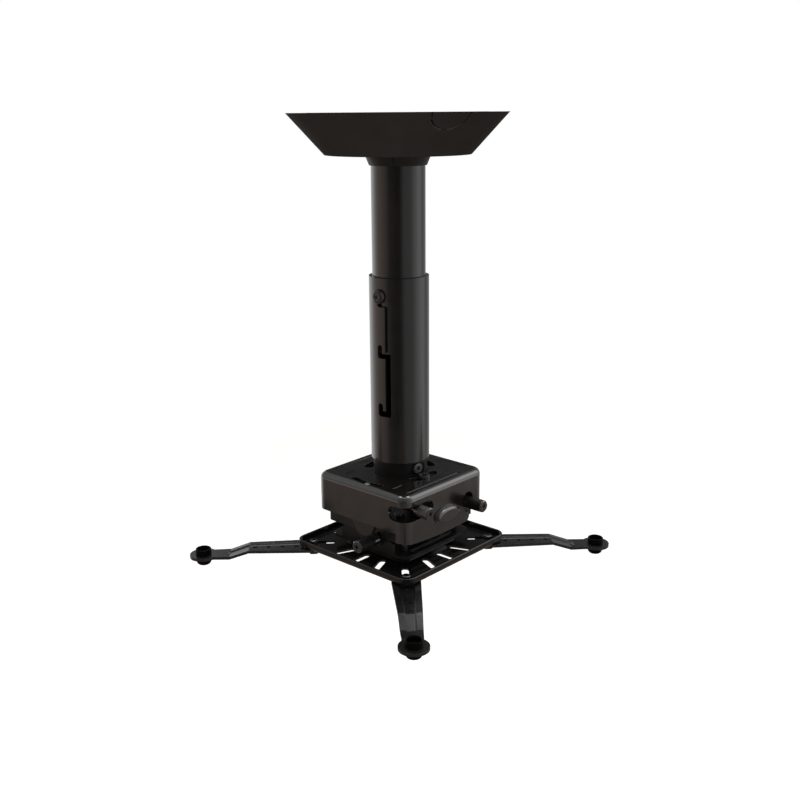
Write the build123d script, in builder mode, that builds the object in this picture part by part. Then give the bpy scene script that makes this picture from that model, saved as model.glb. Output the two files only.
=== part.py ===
from build123d import *
import os
from math import asin, cos, degrees, hypot, isclose, radians, sin, sqrt

# Projector ceiling mount: a ceiling plate with a telescopic column, a head that yaws, rolls and
# pitches, and a slotted spider plate with four swinging arms. Millimetres, +Z up, the origin on
# the column's axis in the ceiling's plane. Front is -Y, and the yaw and roll knobs point to +X.

os.makedirs("parts", exist_ok=True)

# Clearances
running_gap = 0.05
sliding_gap = 0.3
seat_gap = 0.1
swing_gap = 1.5

# Ceiling plate and upper tube
ceiling_plate_side = 110
ceiling_plate_corner = 12
ceiling_plate_gauge = 4
lag_inset = 15
lag_slot_length = 18
lag_slot_width = 8
upper_tube_length = 189
upper_tube_wall = 2.4
cable_window_width = 18
cable_window_height = 16

# Canopy and its split collar
canopy_top_r = 89.1
canopy_bottom_r = 59.3
canopy_height = 32.6
canopy_wall = 2
canopy_edge_fillet = 4
knockout_angle = -21
knockout_half_width = 16.5
knockout_depth = 13.3
knockout_groove = 1.1
knockout_bridge = 1.6
knockout_bridge_reach = 4.4
collar_height = 8.4
collar_foot_wall = 1
collar_neck_wall = 2.8
collar_shoulder_wall = 4.4
collar_lip_wall = 7.6
collar_lip_gauge = 2
collar_seam_angle = -57
collar_seam_gap = 0.4

# Lower tube, its hooked slot and the height screw
lower_tube_r = 25
lower_tube_wall = 2.5
lower_tube_length = 157.1
lower_tube_rim = 14.9
tube_play = 0.35
slot_width = 5
slot_mid_angle = -79.5
slot_half_reach = 3.85
hook_depth = 11.3
first_hook_drop = 43
second_hook_drop = 93
height_screw_rise = 48.4
height_screw_r = 2.3
height_head_r = 6
height_head_rise = 3.6
height_head_round = 2.9
height_socket_r = 1.7
height_socket_depth = 2.2
height_pin_r = 0.6
height_nut_r = 5
height_nut_length = 6

# Swivel flange under the head cover's top, its lock screws and the yaw stop
neck_height = 13.4
neck_step = 1.7
neck_wall = 3.9
locating_step = 3
flange_margin = 0.5
swivel_flange_gauge = 4
cable_arc_offset = 6
cable_arc_width = 8
cable_arc_half = 25
neck_recess_angle = -10
neck_recess_width = 19
neck_recess_height = 9.6
neck_recess_depth = 2.4
neck_screw_offset = 1.2
neck_screw_r = 2.5
neck_head_r = 4.4
neck_head_rise = 2.2
swivel_screw_angle = -4
swivel_screw_r = 2.5
swivel_head_r = 4.6
swivel_head_rise = 2.4
lock_socket_r = 2.3
lock_socket_depth = 1.7
yaw_slot_r = 44.5
yaw_slot_half = 19
yaw_slot_width = 5.6
yaw_stop_r = 1.8
yaw_stop_head_r = 2.5
yaw_stop_round = 0.7
yaw_stop_angle = -87

# Head cover
cover_side = 104.1
cover_corner = 10
cover_gauge = 2.5
cover_top_fillet = 5
skirt_height = 33.1
ear_height = 44.1
ear_sagitta = 3.3
ear_reach = 31
ear_corner = 5
wrap_reach = 41
yaw_window_drop = 9.3
yaw_window_height = 12.9
yaw_window_front = 32.5
yaw_window_side = -17
groove_inset = 8.5
side_groove_length = 68
side_groove_middle = -6.6
rear_groove_length = 31.6
rear_groove_middle = 23.5
groove_width = 1.8
groove_depth = 0.6
index_offset = 27.8
index_middle = -34.5
index_length = 12
index_width = 1.3

# Tilt axes, their pivots and the oval badge
roll_axis_drop = 27.8
axis_offset = 6.5
roll_pin_r = 3
roll_head_r = 5
roll_head_rise = 1.8
pitch_pin_r = 4
pitch_disc_r = 12.5
pitch_disc_gauge = 1.5
pivot_nut_r = 6.5
pitch_nut_r = 7.5
pivot_nut_length = 4.5
badge_length = 31
badge_height = 15.6
badge_rim = 1.4
badge_step = 1.4
badge_rise = 4
badge_fillet = 2.2

# Gimbal bracket
gimbal_side_gap = 6.05
gimbal_front_gap = 3.35
gimbal_gauge = 2.5
gimbal_crown = 1.5
gimbal_side_height = 14.5
gimbal_front_height = 17.7
roll_hump_r = 8.5
pitch_hump_r = 11
pitch_bulge_r = 16.5
pitch_slot_edge = 2.4
gimbal_bend = 3

# Lock knobs
knob_r = 5.2
knob_edge = 0.8
knob_cross_length = 4.4
knob_cross_width = 1.2
knob_cross_depth = 2.6
knob_shank_r = 2.5
knob_boss_r = 5
yaw_knob_y = -34.7
yaw_knob_drop = 14.8
yaw_knob_reach = 12
yaw_knob_length = 14
roll_knob_y = 29.3
roll_knob_rise = 2
roll_knob_reach = 17.5
roll_knob_length = 23
pitch_knob_x = 15.5
pitch_knob_drop = 11.1
pitch_knob_reach = 20
pitch_knob_length = 23
yaw_lug_width = 12
yaw_lug_x = 12
roll_swing = 5
pitch_swing = 8

# Yoke
yoke_gauge = 2.5
yoke_height = 25.1
yoke_foot_width = 60
yoke_shoulder_drop = 14.5
yoke_hump_r = 9
yoke_base_half_x = 44
yoke_base_corner = 9
yoke_slot_x = 38
yoke_slot_length = 58
yoke_slot_width = 5
plate_screw_spacing = 46
plate_screw_r = 2.5
plate_screw_head_r = 4.5
plate_screw_head_rise = 2.6
plate_nut_length = 4

# Spider plate
spider_side = 133.5
spider_corner = 10
spider_gauge = 2
spider_bend = 3
spider_edge = 0.6
rim_height = 6.7
platform_side = 72
platform_corner = 8
platform_rise = 9.3
platform_taper = 12
slot_margin = 6.25
slot_inset = 5
radial_slot_width = 6
radial_slot_count = 16

# Arms, arm screws and feet
arm_gauge = 2.6
arm_root_width = 24.5
arm_tip_width = 15.8
arm_tip_r = 12
arm_screw_inset = 8.06
arm_root_overhang = 11
arm_length = 97.4
arm_bend_length = 17
arm_bend_inset = 23.4
arm_drop = 5.6
arm_channel_lead = 9
arm_channel_run = 2.6
arm_channel_root_width = 11
arm_channel_tip_width = 6
arm_channel_depth = 1
arm_channel_slope = 0.85
arm_hole_r = 1.8
arm_hole_lead = 6.9
arm_hole_tail = 5
arm_hole_count = 4
arm_screw_r = 2.7
arm_head_r = 3.8
arm_head_rise = 2.6
arm_head_round = 1.5
arm_socket_r = 1.7
arm_socket_depth = 1.5
arm_nut_r = 5.5
arm_nut_length = 4.5
thumb_ring_r = 6.75
thumb_ring_height = 5
thumb_ring_edge = 0.4
thumb_recess_r = 5.4
thumb_recess_depth = 4
foot_neck_r = 4.4
foot_r = 6.4
foot_bulge_r = 5.8
foot_sole_r = 4.2
foot_height = 6.8
foot_bore_r = 2.25

# Heights, from the ceiling down
upper_tube_end = -ceiling_plate_gauge - upper_tube_length
canopy_bottom = -canopy_height
collar_bottom = canopy_bottom - collar_height
height_screw_z = upper_tube_end + height_screw_rise
lower_tube_top = height_screw_z + lower_tube_rim
lower_tube_bottom = lower_tube_top - lower_tube_length
cover_top = lower_tube_bottom - neck_height
cover_ceiling = cover_top - cover_gauge
flange_top = cover_ceiling - seat_gap
flange_bottom = flange_top - swivel_flange_gauge
skirt_bottom = cover_top - skirt_height
ear_bottom = cover_top - ear_height
yaw_knob_z = cover_top - yaw_knob_drop
roll_axis_z = cover_top - roll_axis_drop
roll_knob_z = roll_axis_z + roll_knob_rise
pitch_axis_z = roll_axis_z - axis_offset
pitch_knob_z = pitch_axis_z - pitch_knob_drop
gimbal_top = roll_axis_z + gimbal_crown
platform_top = pitch_axis_z - yoke_height
yoke_base_top = platform_top + yoke_gauge
spider_bottom = platform_top - platform_rise
spider_floor = spider_bottom + spider_gauge
spider_rim_top = spider_bottom + rim_height
arm_top = spider_bottom - seat_gap
arm_bottom = arm_top - arm_gauge
arm_tip_top = arm_top - arm_drop
arm_tip_bottom = arm_tip_top - arm_gauge
foot_bottom = arm_tip_bottom - foot_height

# Radii, half widths and reaches that follow from the sizes above
lower_bore_r = lower_tube_r - lower_tube_wall
upper_tube_r = lower_bore_r - tube_play
upper_bore_r = upper_tube_r - upper_tube_wall
hook_drops = (0, first_hook_drop, second_hook_drop)
neck_r = lower_tube_r - neck_step
neck_bore_r = neck_r - neck_wall
neck_middle = lower_tube_bottom - neck_height / 2
cable_arc_r = neck_r + cable_arc_offset
cover_half = cover_side / 2
cover_inner_half = cover_half - cover_gauge
swivel_flange_r = cover_inner_half - flange_margin
gimbal_half_x = cover_inner_half - gimbal_side_gap
gimbal_half_y = cover_inner_half - gimbal_front_gap
yoke_outer_y = gimbal_half_y - gimbal_gauge - sliding_gap
slot_outer_half = spider_side / 2 - slot_margin
slot_inner_half = platform_side / 2 + slot_inset
arm_screw_reach = slot_outer_half * sqrt(2) - arm_screw_inset
arm_reach = arm_screw_reach + arm_length


def radial_plane(angle, height, distance=0):
    """Upright plane whose normal points outwards at the given angle about the column."""
    outward = (cos(radians(angle)), sin(radians(angle)), 0)
    tangent = (-sin(radians(angle)), cos(radians(angle)), 0)
    origin = (distance * outward[0], distance * outward[1], height)
    return Plane(origin=origin, x_dir=tangent, z_dir=outward)


def finish(block, name):
    """Labels a finished piece and writes it to its own file."""
    block.part.label = name
    export_step(block.part, f"parts/{name}.step")


# Ceiling plate: flat steel with a cable hole and four slots for the ceiling screws.
lag_spacing = ceiling_plate_side - 2 * lag_inset
with BuildPart() as ceiling_plate:
    with BuildSketch(Plane.XY.offset(-ceiling_plate_gauge)):
        RectangleRounded(ceiling_plate_side, ceiling_plate_side, ceiling_plate_corner)
        Circle(upper_bore_r, mode=Mode.SUBTRACT)
        with GridLocations(lag_spacing, lag_spacing, 2, 2):
            SlotOverall(lag_slot_length, lag_slot_width, mode=Mode.SUBTRACT)
    extrude(amount=ceiling_plate_gauge)
finish(ceiling_plate, "ceiling_plate")

# Upper tube: welded under the ceiling plate, with a window that lets the cables in and a hole
# for the height screw.
height_screw_angle = slot_mid_angle - degrees(asin(slot_half_reach / lower_tube_r))
cable_window_top = -ceiling_plate_gauge - upper_tube_wall
with BuildPart() as upper_tube:
    with BuildSketch(Plane.XY.offset(upper_tube_end)):
        Circle(upper_tube_r)
        Circle(upper_bore_r, mode=Mode.SUBTRACT)
    extrude(amount=-ceiling_plate_gauge - upper_tube_end)
    with BuildSketch(radial_plane(knockout_angle, cable_window_top - cable_window_height / 2)):
        RectangleRounded(cable_window_width, cable_window_height, cable_window_height / 4)
    extrude(amount=lower_tube_r, mode=Mode.SUBTRACT)
    with BuildSketch(radial_plane(height_screw_angle, height_screw_z)):
        Circle(height_screw_r + running_gap)
    extrude(amount=lower_tube_r, mode=Mode.SUBTRACT)
finish(upper_tube, "upper_tube")

# Height screw: a tamper-resistant button head outside the lower tube, its shank through the
# hooked slot and the upper tube's wall, held by a round nut inside.
with BuildPart() as height_screw:
    with BuildSketch(radial_plane(height_screw_angle, height_screw_z, upper_bore_r - height_nut_length)):
        Circle(height_screw_r)
    extrude(amount=lower_tube_r + sliding_gap - upper_bore_r + height_nut_length)
    with BuildSketch(radial_plane(height_screw_angle, height_screw_z, lower_tube_r + sliding_gap)):
        Circle(height_head_r)
    extrude(amount=height_head_rise)
    crown = height_screw.faces().sort_by(Axis((0, 0, 0), radial_plane(height_screw_angle, 0).z_dir))[-1]
    fillet(crown.edges(), height_head_round)
    recess_face = lower_tube_r + sliding_gap + height_head_rise
    with BuildSketch(radial_plane(height_screw_angle, height_screw_z, recess_face)):
        RegularPolygon(height_socket_r, 6)
        Circle(height_pin_r, mode=Mode.SUBTRACT)
    extrude(amount=-height_socket_depth, mode=Mode.SUBTRACT)
finish(height_screw, "height_screw")

with BuildPart() as height_nut:
    with BuildSketch(radial_plane(height_screw_angle, height_screw_z, upper_bore_r - height_nut_length)):
        Circle(height_nut_r)
        Circle(height_screw_r + running_gap, mode=Mode.SUBTRACT)
    extrude(amount=height_nut_length)
    with BuildSketch(Plane.XY.offset(height_screw_z - height_nut_r)):
        Circle(upper_bore_r)
    extrude(amount=2 * height_nut_r, mode=Mode.INTERSECT)
finish(height_nut, "height_nut")

# Canopy: a moulded cone that hides the ceiling plate, with a half-round cable knock-out in its rim.
canopy_top = -seat_gap
collar_bore_r = upper_tube_r + sliding_gap
collar_neck_r = collar_bore_r + collar_neck_wall
canopy_hole_r = collar_neck_r + sliding_gap
canopy_slope = (canopy_top_r - canopy_bottom_r) / (canopy_top - canopy_bottom)
canopy_skin = canopy_wall * sqrt(1 + canopy_slope**2)
canopy_floor = canopy_bottom + canopy_wall
canopy_floor_r = canopy_bottom_r + canopy_slope * canopy_wall - canopy_skin
with BuildPart() as canopy:
    with BuildSketch(Plane.XZ) as canopy_section:
        with BuildLine():
            Polyline(
                (canopy_hole_r, canopy_bottom),
                (canopy_bottom_r, canopy_bottom),
                (canopy_top_r, canopy_top),
                (canopy_top_r - canopy_skin, canopy_top),
                (canopy_floor_r, canopy_floor),
                (canopy_hole_r, canopy_floor),
                close=True,
            )
        make_face()
        outer_corner = canopy_section.vertices().sort_by_distance((canopy_bottom_r, 0, canopy_bottom))[0]
        fillet(outer_corner, canopy_edge_fillet)
    revolve(axis=Axis.Z)
    with BuildSketch(radial_plane(knockout_angle, canopy_top, canopy_bottom_r)):
        Ellipse(knockout_half_width, knockout_depth)
        inner_width = knockout_half_width - knockout_groove
        inner_depth = knockout_depth - knockout_groove
        Ellipse(inner_width, inner_depth, mode=Mode.SUBTRACT)
        with Locations((0, -knockout_depth), (-knockout_half_width, -knockout_depth / 3)):
            Rectangle(knockout_bridge_reach, knockout_bridge, mode=Mode.SUBTRACT)
            Rectangle(knockout_bridge, knockout_bridge_reach, mode=Mode.SUBTRACT)
        with Locations((0, knockout_depth)):
            Rectangle(3 * knockout_half_width, 2 * knockout_depth, mode=Mode.SUBTRACT)
    extrude(amount=canopy_top_r, mode=Mode.SUBTRACT)
finish(canopy, "canopy")

# Split collar: two half rings that grip the upper tube and carry the canopy in their groove.
collar_half_turn = 180 - degrees(collar_seam_gap / collar_bore_r)
collar_halves = (("collar_half_left", collar_seam_angle + 180), ("collar_half_right", collar_seam_angle))
for name, start in collar_halves:
    section_plane = Plane.XZ.rotated((0, 0, start + (180 - collar_half_turn) / 2))
    with BuildPart() as collar_half:
        with BuildSketch(section_plane):
            with BuildLine():
                Polyline(
                    (collar_bore_r, collar_bottom),
                    (collar_bore_r + collar_foot_wall, collar_bottom),
                    (collar_bore_r + collar_shoulder_wall, canopy_bottom - seat_gap),
                    (collar_neck_r, canopy_bottom - seat_gap),
                    (collar_neck_r, canopy_floor + seat_gap),
                    (collar_bore_r + collar_lip_wall, canopy_floor + seat_gap),
                    (collar_bore_r + collar_lip_wall, canopy_floor + seat_gap + collar_lip_gauge),
                    (collar_bore_r, canopy_floor + seat_gap + collar_lip_gauge),
                    close=True,
                )
            make_face()
        revolve(axis=Axis.Z, revolution_arc=collar_half_turn)
    finish(collar_half, name)

# Lower tube: slides over the upper tube and hangs on the height screw by one of three hooks.
with BuildPart() as lower_tube:
    with BuildSketch(Plane.XY.offset(lower_tube_bottom)):
        Circle(lower_tube_r)
        Circle(lower_bore_r, mode=Mode.SUBTRACT)
    extrude(amount=lower_tube_top - lower_tube_bottom)
    hook_top = height_screw_z + slot_width / 2
    with BuildSketch(radial_plane(slot_mid_angle, hook_top)):
        channel_length = second_hook_drop + slot_width
        with Locations((slot_half_reach, -hook_depth - second_hook_drop / 2 + slot_width / 2)):
            Rectangle(slot_width, channel_length)
        for drop in hook_drops:
            with Locations((0, -drop - hook_depth + slot_width / 2)):
                Rectangle(2 * slot_half_reach, slot_width)
    extrude(amount=lower_tube_r + slot_width, mode=Mode.SUBTRACT)
    with BuildSketch(radial_plane(height_screw_angle, hook_top)):
        for drop in hook_drops:
            with Locations((0, -drop - hook_depth / 2)):
                SlotOverall(hook_depth, slot_width, rotation=90)
    extrude(amount=lower_tube_r + slot_width, mode=Mode.SUBTRACT)
finish(lower_tube, "lower_tube")

# Swivel flange: the column's turned foot. Its disc carries the head cover from below, with two cable
# arcs that line up with the cover's, a drilled lug for the yaw knob and a flat for the neck's lock screw.
yaw_lug_bottom = yaw_knob_z - yaw_lug_width / 2
cable_arcs = [
    CenterArc((0, 0), cable_arc_r, middle - cable_arc_half, 2 * cable_arc_half) for middle in (90, 180)
]
neck_flat = neck_r - neck_recess_depth
with BuildPart() as swivel_flange:
    with BuildSketch(Plane.XY.offset(flange_bottom)):
        Circle(swivel_flange_r)
    extrude(amount=swivel_flange_gauge)
    with BuildSketch(Plane.XY.offset(flange_bottom)):
        Circle(neck_r)
    extrude(amount=lower_tube_bottom - flange_bottom)
    with BuildSketch(Plane.XY.offset(lower_tube_bottom)):
        Circle(lower_bore_r - seat_gap)
    extrude(amount=locating_step)
    with BuildSketch(Plane.XY.offset(yaw_lug_bottom)):
        with Locations((yaw_lug_x, yaw_knob_y)):
            Rectangle(yaw_lug_width, yaw_lug_width)
    extrude(amount=flange_bottom - yaw_lug_bottom)
    with BuildSketch(Plane.XY.offset(flange_bottom)):
        Circle(neck_bore_r)
        for cable_arc in cable_arcs:
            SlotArc(cable_arc, cable_arc_width)
        with PolarLocations(cable_arc_r, 1, start_angle=swivel_screw_angle):
            Circle(swivel_screw_r + running_gap)
        with PolarLocations(yaw_slot_r, 1, start_angle=yaw_stop_angle):
            Circle(yaw_stop_r + running_gap)
    extrude(amount=lower_tube_bottom + locating_step - flange_bottom, mode=Mode.SUBTRACT)
    with BuildSketch(Plane.YZ.offset(yaw_lug_x - yaw_lug_width)):
        with Locations((yaw_knob_y, yaw_knob_z)):
            Circle(knob_shank_r + running_gap)
    extrude(amount=2 * yaw_lug_width, mode=Mode.SUBTRACT)
    with BuildSketch(radial_plane(neck_recess_angle, neck_middle, neck_flat)):
        SlotOverall(neck_recess_width, neck_recess_height)
    extrude(amount=neck_r, mode=Mode.SUBTRACT)
    with BuildSketch(radial_plane(neck_recess_angle, neck_middle)):
        with Locations((neck_screw_offset, 0)):
            Circle(neck_screw_r + running_gap)
    extrude(amount=neck_r, mode=Mode.SUBTRACT)
finish(swivel_flange, "swivel_flange")

# Lock screws: one through the neck's flat, and one that clamps the cover to the flange through its
# side arc. Both are socket screws.
swivel_x = cable_arc_r * cos(radians(swivel_screw_angle))
swivel_y = cable_arc_r * sin(radians(swivel_screw_angle))
swivel_seat = Plane(origin=(swivel_x, swivel_y, cover_top + seat_gap), z_dir=(0, 0, 1))
swivel_grip = cover_top + seat_gap - flange_bottom + swivel_screw_r
neck_face = radial_plane(neck_recess_angle, neck_middle, neck_flat + seat_gap)
neck_origin = neck_face.from_local_coords((neck_screw_offset, 0, 0))
neck_seat = Plane(origin=neck_origin, x_dir=neck_face.x_dir, z_dir=neck_face.z_dir)
neck_grip = neck_wall - neck_recess_depth + seat_gap
lock_screws = (
    ("neck_screw", neck_seat, neck_grip, neck_screw_r, neck_head_r, neck_head_rise),
    ("swivel_screw", swivel_seat, swivel_grip, swivel_screw_r, swivel_head_r, swivel_head_rise),
)
for name, seat, grip, shank_r, head_r, head_rise in lock_screws:
    with BuildPart() as lock_screw:
        with BuildSketch(seat):
            Circle(shank_r)
        extrude(amount=-grip)
        with BuildSketch(seat):
            Circle(head_r)
        extrude(amount=head_rise)
        with BuildSketch(seat.offset(head_rise)):
            RegularPolygon(lock_socket_r, 6)
        extrude(amount=-lock_socket_depth, mode=Mode.SUBTRACT)
    finish(lock_screw, name)

# Yaw stop: a small screw in the flange whose head runs in the cover's front arc slot.
with BuildPart() as yaw_stop:
    with BuildSketch(Plane.XY.offset(flange_bottom - yaw_stop_r)):
        with PolarLocations(yaw_slot_r, 1, start_angle=yaw_stop_angle):
            Circle(yaw_stop_r)
    extrude(amount=flange_top + seat_gap - flange_bottom + yaw_stop_r)
    with BuildSketch(Plane.XY.offset(flange_top + seat_gap)):
        with PolarLocations(yaw_slot_r, 1, start_angle=yaw_stop_angle):
            Circle(yaw_stop_head_r)
    extrude(amount=cover_gauge - seat_gap)
    fillet(yaw_stop.faces().sort_by(Axis.Z)[-1].edges(), yaw_stop_round)
finish(yaw_stop, "yaw_stop")

# Head cover: a drawn steel cap with rounded edges. Its side walls run down into pivot ears, and a
# window round the front corner leaves the yaw knob room to swing.
ear_radius = (ear_sagitta**2 + cover_half**2) / (2 * ear_sagitta)
ear_centre = ear_bottom + ear_radius
cover_height = cover_top - ear_bottom
yaw_window_z = cover_top - yaw_window_drop - yaw_window_height / 2
roll_slot_width = 2 * (knob_r + swing_gap)
roll_slot_lever = hypot(roll_knob_y, roll_knob_z - roll_axis_z)
roll_slot_length = roll_slot_width + 2 * roll_slot_lever * sin(radians(roll_swing))
groove_line = cover_half - groove_inset
swivel_arc = CenterArc((0, 0), cable_arc_r, -cable_arc_half, 2 * cable_arc_half)
yaw_arc = CenterArc((0, 0), yaw_slot_r, -90 - yaw_slot_half, 2 * yaw_slot_half)
with BuildPart() as head_cover:
    with BuildSketch(Plane.XY.offset(ear_bottom)):
        RectangleRounded(cover_side, cover_side, cover_corner)
    extrude(amount=cover_height)
    fillet(head_cover.faces().sort_by(Axis.Z)[-1].edges(), cover_top_fillet)
    with BuildSketch(Plane.XY.offset(ear_bottom)):
        inner_side = 2 * cover_inner_half
        RectangleRounded(inner_side, inner_side, cover_corner - cover_gauge)
    extrude(amount=cover_height - cover_gauge, mode=Mode.SUBTRACT)
    with BuildSketch(Plane.XY.offset(ear_bottom)):
        clear_length = wrap_reach + cover_half
        clear_width = cover_half - ear_reach
        for side in (-1, 1):
            with Locations((side * (clear_length / 2 - wrap_reach), side * (ear_reach + clear_width / 2))):
                Rectangle(clear_length, clear_width)
    extrude(amount=skirt_bottom - ear_bottom, mode=Mode.SUBTRACT)
    with BuildSketch(Plane.YZ):
        with Locations((0, ear_bottom)):
            Rectangle(cover_side, 2 * ear_sagitta)
        with Locations((0, ear_centre)):
            Circle(ear_radius, mode=Mode.SUBTRACT)
    extrude(amount=cover_side, both=True, mode=Mode.SUBTRACT)
    free_corners = head_cover.edges().filter_by(Axis.X).group_by(Axis.Z)[0]
    free_corners = free_corners.filter_by(lambda edge: abs(abs(edge.center().Y) - ear_reach) < seat_gap)
    fillet(free_corners, ear_corner)
    with BuildSketch(Plane.XZ.offset(cover_inner_half - cover_gauge)):
        with Locations((yaw_window_front + cover_half / 2, yaw_window_z)):
            SlotOverall(cover_half, yaw_window_height)
    extrude(amount=3 * cover_gauge, mode=Mode.SUBTRACT)
    with BuildSketch(Plane.YZ.offset(cover_inner_half - cover_gauge)):
        with Locations((yaw_window_side - cover_half / 2, yaw_window_z)):
            SlotOverall(cover_half, yaw_window_height)
    extrude(amount=3 * cover_gauge, mode=Mode.SUBTRACT)
    with BuildSketch(Plane.YZ.offset(cover_inner_half - cover_gauge)):
        with Locations((roll_knob_y, roll_knob_z)):
            SlotOverall(roll_slot_length, roll_slot_width, rotation=90)
    extrude(amount=3 * cover_gauge, mode=Mode.SUBTRACT)
    with BuildSketch(Plane.YZ):
        with Locations((0, roll_axis_z)):
            Circle(roll_pin_r + running_gap)
    extrude(amount=cover_side, both=True, mode=Mode.SUBTRACT)
    with BuildSketch(Plane.XY.offset(cover_ceiling)):
        Circle(neck_r + sliding_gap)
        for cable_arc in (swivel_arc, *cable_arcs):
            SlotArc(cable_arc, cable_arc_width)
        SlotArc(yaw_arc, yaw_slot_width)
    extrude(amount=cover_gauge, mode=Mode.SUBTRACT)
    with BuildSketch(Plane.XY.offset(cover_top - groove_depth)):
        with Locations((groove_line, side_groove_middle), (-groove_line, side_groove_middle)):
            Rectangle(groove_width, side_groove_length)
        with Locations((rear_groove_middle, groove_line), (-rear_groove_middle, groove_line)):
            Rectangle(rear_groove_length, groove_width)
        with Locations((index_offset, index_middle), (-index_offset, index_middle)):
            Rectangle(index_width, index_length)
    extrude(amount=groove_depth, mode=Mode.SUBTRACT)
finish(head_cover, "head_cover")

# Roll pivots: two headed pins through the cover's ears, each with a spacer sleeve out to the gimbal.
gimbal_side_inner = gimbal_half_x - gimbal_gauge
with BuildPart() as roll_pivots:
    for side in (-1, 1):
        with BuildSketch(Plane.YZ.offset(side * (gimbal_side_inner - pivot_nut_length))):
            with Locations((0, roll_axis_z)):
                Circle(roll_pin_r)
        extrude(amount=side * (cover_half + seat_gap - gimbal_side_inner + pivot_nut_length))
        with BuildSketch(Plane.YZ.offset(side * (cover_half + seat_gap))):
            with Locations((0, roll_axis_z)):
                Circle(roll_head_r)
        extrude(amount=side * roll_head_rise)
finish(roll_pivots, "roll_pivots")

with BuildPart() as roll_spacers:
    for side in (-1, 1):
        with BuildSketch(Plane.YZ.offset(side * (gimbal_half_x + seat_gap))):
            with Locations((0, roll_axis_z)):
                Circle(pivot_nut_r)
                Circle(roll_pin_r + running_gap, mode=Mode.SUBTRACT)
        extrude(amount=side * (cover_inner_half - gimbal_half_x - 2 * seat_gap))
finish(roll_spacers, "roll_spacers")

with BuildPart() as roll_nuts:
    for side in (-1, 1):
        with BuildSketch(Plane.YZ.offset(side * (gimbal_side_inner - seat_gap))):
            with Locations((0, roll_axis_z)):
                RegularPolygon(pivot_nut_r, 6)
                Circle(roll_pin_r + running_gap, mode=Mode.SUBTRACT)
        extrude(amount=-side * (pivot_nut_length - seat_gap))
finish(roll_nuts, "roll_nuts")

# Oval badge: a plain moulded cap with a thin rim, over the head of the side pivot.
with BuildPart() as badge:
    with BuildSketch(Plane.YZ.offset(cover_half)):
        with Locations((0, roll_axis_z)):
            Ellipse(badge_length / 2, badge_height / 2)
    extrude(amount=badge_rim)
    with BuildSketch(Plane.YZ.offset(cover_half)):
        with Locations((0, roll_axis_z)):
            Ellipse(badge_length / 2 - badge_step, badge_height / 2 - badge_step)
    extrude(amount=badge_rise)
    fillet(badge.faces().sort_by(Axis.X)[-1].edges(), badge_fillet)
    with BuildSketch(Plane.YZ.offset(cover_half)):
        with Locations((0, roll_axis_z)):
            Circle(roll_head_r + sliding_gap)
    extrude(amount=roll_head_rise + sliding_gap, mode=Mode.SUBTRACT)
finish(badge, "badge")

# Gimbal bracket: a folded ring of four walls. The side walls hang on the roll pivots, and the
# front and rear walls carry the pitch pivots and the arc slot for the pitch knob.
pitch_lever = hypot(pitch_knob_x, pitch_knob_z - pitch_axis_z)
pitch_angle = -degrees(asin((pitch_axis_z - pitch_knob_z) / pitch_lever))
pitch_slot_half = pitch_swing + degrees(swing_gap / pitch_lever) / 2
pitch_slot_width = 2 * (knob_shank_r + sliding_gap)
pitch_arc = CenterArc((0, 0), pitch_lever, pitch_angle - pitch_slot_half, 2 * pitch_slot_half)
with BuildPart() as gimbal_bracket:
    for side in (-1, 1):
        with BuildSketch(Plane.XZ.offset(-side * (gimbal_half_y - gimbal_gauge))):
            with Locations((0, pitch_axis_z)):
                Circle(pitch_bulge_r)
            with Locations((0, gimbal_top + pitch_bulge_r)):
                Rectangle(2 * gimbal_half_x, 2 * pitch_bulge_r, mode=Mode.SUBTRACT)
            with Locations((0, gimbal_top - gimbal_front_height / 2)):
                Rectangle(2 * gimbal_half_x, gimbal_front_height)
            with Locations((0, pitch_axis_z)):
                Circle(pitch_hump_r)
                if side == -1:
                    SlotArc(pitch_arc, pitch_slot_width + 2 * pitch_slot_edge)
                Circle(pitch_pin_r + running_gap, mode=Mode.SUBTRACT)
        extrude(amount=-side * gimbal_gauge)
    with BuildSketch(Plane.XZ.offset(gimbal_half_y - 2 * gimbal_gauge)):
        with Locations((0, pitch_axis_z)):
            SlotArc(pitch_arc, pitch_slot_width)
    extrude(amount=3 * gimbal_gauge, mode=Mode.SUBTRACT)
    for side in (-1, 1):
        with BuildSketch(Plane.YZ.offset(side * gimbal_side_inner)):
            with Locations((0, gimbal_top - gimbal_side_height / 2)):
                Rectangle(2 * gimbal_half_y, gimbal_side_height)
            with Locations((0, roll_axis_z)):
                Circle(roll_hump_r)
                Circle(roll_pin_r + running_gap, mode=Mode.SUBTRACT)
            if side == 1:
                with Locations((roll_knob_y, roll_knob_z)):
                    Circle(roll_hump_r)
                    Circle(knob_shank_r + running_gap, mode=Mode.SUBTRACT)
        extrude(amount=side * gimbal_gauge)
    outer_bends = gimbal_bracket.edges().filter_by(Axis.Z)
    outer_bends = outer_bends.filter_by(lambda edge: abs(edge.center().X) > gimbal_half_x - seat_gap)
    outer_bends = outer_bends.filter_by(lambda edge: abs(edge.center().Y) > gimbal_half_y - seat_gap)
    fillet(outer_bends, gimbal_bend)
finish(gimbal_bracket, "gimbal_bracket")

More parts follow.
